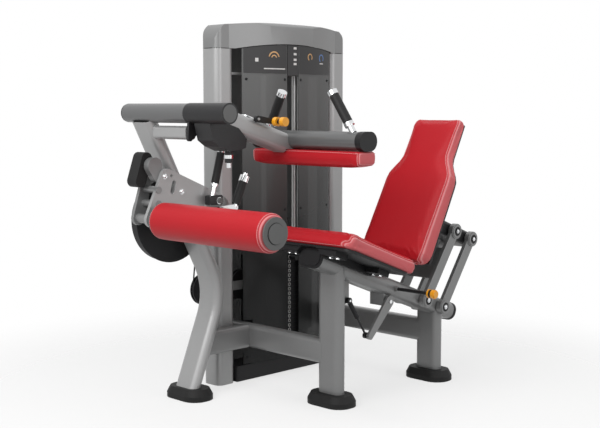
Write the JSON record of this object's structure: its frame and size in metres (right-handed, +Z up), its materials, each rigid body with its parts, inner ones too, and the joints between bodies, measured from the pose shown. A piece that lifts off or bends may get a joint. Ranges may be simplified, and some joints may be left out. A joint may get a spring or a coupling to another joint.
{
  "type": "leg curl machine",
  "caption": "Seated leg exercise machine: weight tower, tilted seat with sliding back, thigh hold-down pad and a roller arm that lifts the stack by cable.",
  "frame": {"origin": "middle of the object's box on the floor", "axes": "+Z up, the user sits facing -X, the weight tower stands at +Y"},
  "size_m": [1.5625, 1.012, 1.588],
  "materials": {
    "grey_frame": "satin grey paint",
    "grey_cap": "satin moulded shell",
    "smoked_sheet": "smoked clear sheet",
    "placard": "printed plate",
    "black_plastic": "moulded black",
    "black_metal": "black textured casting",
    "rubber": "matt rubber",
    "cable_jacket": "coated steel cable",
    "chrome": "polished",
    "red_vinyl": "grained vinyl over foam",
    "amber": "moulded amber",
    "stack": "black painted plates"
  },
  "bodies": {
    "base": {"tower_posts": "grey_frame", "tower_cap": "grey_cap", "front_shields": "smoked_sheet", "rear_shields": "smoked_sheet", "placards": "placard", "plinth": "black_plastic", "guide_rods": "chrome", "stack_bumpers": "rubber", "resting_plates": "stack", "pulley_mounts": "grey_frame", "lift_cable": "cable_jacket", "front_leg": "grey_frame", "rubber_feet": "rubber", "base_beam": "grey_frame", "cross_beams": "grey_frame", "seat_legs": "grey_frame", "top_bar": "grey_frame", "bearing_housing": "grey_frame", "arm_bearings": "chrome", "cam_guard": "black_plastic", "seat_rail": "grey_frame", "end_caps": "black_plastic", "rail_pins": "chrome", "seat_frame": "black_plastic", "seat_pad": "red_vinyl", "seat_bolts": "chrome"},
    "exercise_arm": {"arm_shaft": "chrome", "arm_plate": "grey_frame", "arm_ladder": "grey_frame", "arm_bumper": "rubber", "cam": "black_metal", "assist_handle": "chrome", "assist_grip": "rubber"},
    "roller": {"roller_pad": "red_vinyl", "roller_caps": "grey_cap"},
    "range_arm": {"range_lever": "chrome", "range_grip": "rubber"},
    "thigh_hold": {"thigh_bracket": "black_metal", "thigh_arm": "grey_frame", "thigh_beam": "grey_frame", "beam_caps": "black_plastic", "thigh_pad": "red_vinyl", "thigh_handles": "chrome", "thigh_grips": "rubber"},
    "release_lever": {"thigh_lever": "black_plastic", "lever_knob": "amber"},
    "front_link_pair": {"front_links": "grey_frame"},
    "rear_link_pair": {"rear_links": "grey_frame"},
    "back": {"back_carrier": "black_metal", "back_board": "black_plastic", "back_pad": "red_vinyl"},
    "release_rod": {"release_knob": "amber"},
    "spring_lever": {"gas_lever": "grey_frame"},
    "spring_barrel": {"gas_barrel": "black_plastic"},
    "spring_rod": {"gas_rod": "black_metal"},
    "lifted_weight": {"weight_head": "stack"},
    "weight_pin": {"selector_pin": "amber"},
    "upper_wheel": {"top_pulley": "black_plastic"},
    "lower_wheel": {"lower_pulley": "black_plastic"},
    "post_wheel": {"post_pulley": "black_plastic"}
  },
  "joints": [
    {"name": "arm_swing", "type": "hinge", "parent": "base", "child": "exercise_arm", "pos_m": [-0.38326, 0.197, 0.78], "axis": [0, -1, 0], "range_deg": [0, 80]},
    {"name": "roller_spin", "type": "hinge", "parent": "exercise_arm", "child": "roller", "pos_m": [-0.70526, -0.203, 0.778], "axis": [0, -1, 0], "continuous": true},
    {"name": "range_set", "type": "hinge", "parent": "exercise_arm", "child": "range_arm", "pos_m": [-0.38326, 0.159, 0.78], "axis": [0, -1, 0], "range_deg": [-15, 15]},
    {"name": "thigh_swing", "type": "hinge", "parent": "base", "child": "thigh_hold", "pos_m": [-0.66326, -0.103, 1.195], "axis": [0, -1, 0], "range_deg": [-10, 40]},
    {"name": "release_pull", "type": "hinge", "parent": "thigh_hold", "child": "release_lever", "pos_m": [-0.44526, -0.128, 1.173], "axis": [0, -1, 0], "range_deg": [0, 12], "stiffness_Nm_per_rad": 4, "springref_deg": -17.19},
    {"name": "front_links_swing", "type": "hinge", "parent": "base", "child": "front_link_pair", "pos_m": [0.41674, -0.203, 0.37858], "axis": [0, -1, 0], "range_deg": [0, 24]},
    {"name": "rear_links_swing", "type": "hinge", "parent": "base", "child": "rear_link_pair", "pos_m": [0.5371, -0.203, 0.33358], "axis": [0, -1, 0], "range_deg": [-1, 25]},
    {"name": "back_level", "type": "hinge", "parent": "front_link_pair", "child": "back", "pos_m": [0.61749, -0.203, 0.66528], "axis": [0, -1, 0], "range_deg": [-25, 1]},
    {"name": "release_rod_pull", "type": "slide", "parent": "base", "child": "release_rod", "axis": [0, -1, 0], "range_m": [0, 0.015], "stiffness_N_per_m": 400, "springref_m": -0.02},
    {"name": "spring_lever_swing", "type": "hinge", "parent": "base", "child": "spring_lever", "pos_m": [0.19774, -0.203, 0.396], "axis": [0, -1, 0], "range_deg": [-1, 9]},
    {"name": "spring_barrel_swing", "type": "hinge", "parent": "base", "child": "spring_barrel", "pos_m": [-0.03126, -0.23, 0.425], "axis": [0, -1, 0], "range_deg": [-1, 3]},
    {"name": "spring_rod_slide", "type": "slide", "parent": "spring_barrel", "child": "spring_rod", "axis": [0.5571, 0, -0.8305], "range_m": [-0.002, 0.026]},
    {"name": "weight_lift", "type": "slide", "parent": "base", "child": "lifted_weight", "axis": [0, 0, 1], "range_m": [-0.002, 0.112]},
    {"name": "pin_pull", "type": "slide", "parent": "lifted_weight", "child": "weight_pin", "axis": [0, -1, 0], "range_m": [0, 0.1]},
    {"name": "upper_wheel_turn", "type": "hinge", "parent": "base", "child": "upper_wheel", "pos_m": [0.07524, 0.395, 1.4595], "axis": [0, -1, 0], "range_deg": [-3, 80]},
    {"name": "lower_wheel_turn", "type": "hinge", "parent": "base", "child": "lower_wheel", "pos_m": [-0.06826, 0.395, 0.428], "axis": [0, -1, 0], "range_deg": [-108, 3]},
    {"name": "post_wheel_turn", "type": "hinge", "parent": "base", "child": "post_wheel", "pos_m": [-0.28126, 0.395, 0.43], "axis": [0, -1, 0], "range_deg": [-104, 3]}
  ],
  "couplings": [
    {"joint": "weight_lift", "follows": "arm_swing", "m_per_rad": 0.0775},
    {"joint": "upper_wheel_turn", "follows": "arm_swing", "ratio": 0.92814},
    {"joint": "lower_wheel_turn", "follows": "arm_swing", "ratio": -1.2917},
    {"joint": "post_wheel_turn", "follows": "arm_swing", "ratio": -1.25},
    {"joint": "rear_links_swing", "follows": "front_links_swing", "ratio": 1},
    {"joint": "back_level", "follows": "front_links_swing", "ratio": -1},
    {"joint": "spring_lever_swing", "follows": "front_links_swing", "ratio": 0.33333},
    {"joint": "spring_barrel_swing", "follows": "front_links_swing", "ratio": 0.08},
    {"joint": "spring_rod_slide", "follows": "front_links_swing", "m_per_rad": 0.05733}
  ]
}
